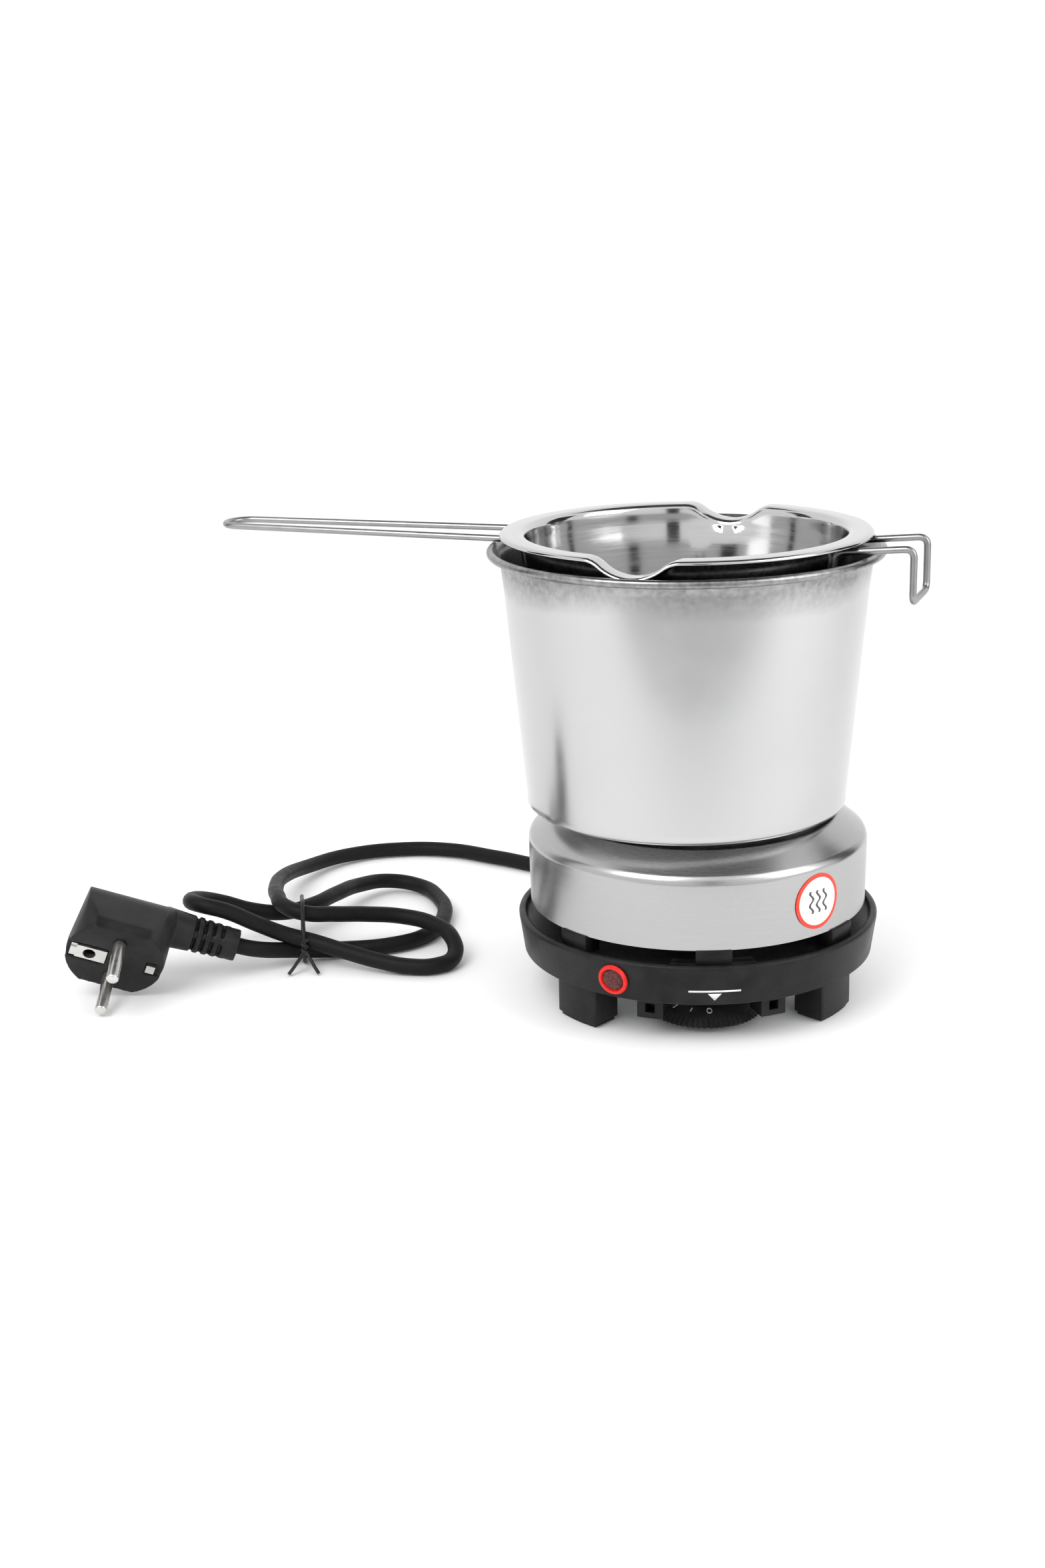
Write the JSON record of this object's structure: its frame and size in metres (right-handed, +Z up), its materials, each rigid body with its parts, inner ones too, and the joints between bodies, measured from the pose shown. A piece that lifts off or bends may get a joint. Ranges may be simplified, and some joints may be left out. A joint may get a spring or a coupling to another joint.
{
  "type": "candle melting pot",
  "caption": "Electric hot plate with cord and plug, a deep water pot on it, and a spouted melting pot hung in the water pot by its wire handles.",
  "frame": {"origin": "on the table under the middle of the hot plate", "axes": "+Z up, the control dial faces -Y, +X along the longest side, which the two pot handles take up"},
  "size_m": [0.3315, 0.246, 0.1807],
  "materials": {
    "black_moulding": "satin",
    "soft_black": "matte",
    "zinc_plate": "satin",
    "brushed_steel": "brushed",
    "polished_steel": "polished",
    "satin_steel": "satin",
    "wire_steel": "polished",
    "iron_plate": "coarse",
    "sticker": "gloss",
    "heater": "oxidised",
    "ceramic": "matte",
    "brass": "satin",
    "lens": "gloss",
    "bulb": "gloss",
    "resistor": "matte",
    "white_plastic": "satin",
    "wire_brown": "matte",
    "wire_blue": "matte",
    "wire_green": "matte",
    "cord": "satin",
    "pin_metal": "satin"
  },
  "bodies": {
    "base": {"base_ring": "black_moulding", "rubber_feet": "soft_black", "bottom_cover": "zinc_plate", "cover_screws": "zinc_plate", "dial_housing": "black_moulding", "steel_drum": "brushed_steel", "heat_sticker": "sticker", "heating_plate": "iron_plate", "heating_coil": "heater", "coil_insulation": "ceramic", "coil_cover_plate": "zinc_plate", "reflector_pan": "zinc_plate", "centre_stud": "zinc_plate", "stud_nuts": "zinc_plate", "cross_bracket": "zinc_plate", "bracket_screws": "zinc_plate", "thermostat_bracket": "zinc_plate", "thermostat_insulators": "ceramic", "bimetal_strip": "brass", "fixed_contact_leaf": "brass", "arm_root": "brass", "threaded_bush": "brass", "lamp_lens": "lens", "lamp_holder": "white_plastic", "neon_bulb": "bulb", "lamp_resistor": "resistor", "terminal_block": "white_plastic", "terminal_screws": "brass", "live_wire": "wire_brown", "neutral_wire": "wire_blue", "earth_wire": "wire_green", "earth_tag": "brass", "cord_gland": "soft_black", "cord_clamp": "black_moulding", "clamp_screws": "zinc_plate", "mains_cord": "cord", "plug_body": "soft_black", "plug_face": "black_moulding", "plug_pins": "pin_metal", "plug_earth_contacts": "pin_metal", "twist_tie": "soft_black"},
    "dial": {"thermostat_dial": "black_moulding", "thermostat_spindle": "pin_metal"},
    "arm": {"contact_arm": "brass"},
    "water_pot": {"water_pot": "satin_steel"},
    "melting_pot": {"melting_pot": "polished_steel", "long_handle": "wire_steel", "hook_handle": "wire_steel"}
  },
  "joints": [
    {"name": "dial_turn", "type": "hinge", "parent": "base", "child": "dial", "pos_m": [0, -0.0348, 0.01], "axis": [0, 0, 1], "range_deg": [0, 270]},
    {"name": "arm_lift", "type": "hinge", "parent": "base", "child": "arm", "pos_m": [0, -0.0194, 0.0502], "axis": [-1, 0, 0], "range_deg": [0, 2], "stiffness_Nm_per_rad": 0.0001, "springref_deg": 21.94},
    {"name": "water_pot_lift", "type": "slide", "parent": "base", "child": "water_pot", "axis": [0, 0, 1], "range_m": [0, 0.15]},
    {"name": "melting_pot_lift", "type": "slide", "parent": "water_pot", "child": "melting_pot", "axis": [0, 0, 1], "range_m": [0, 0.15]}
  ],
  "couplings": [
    {"joint": "arm_lift", "follows": "dial_turn", "ratio": 0.00667}
  ]
}
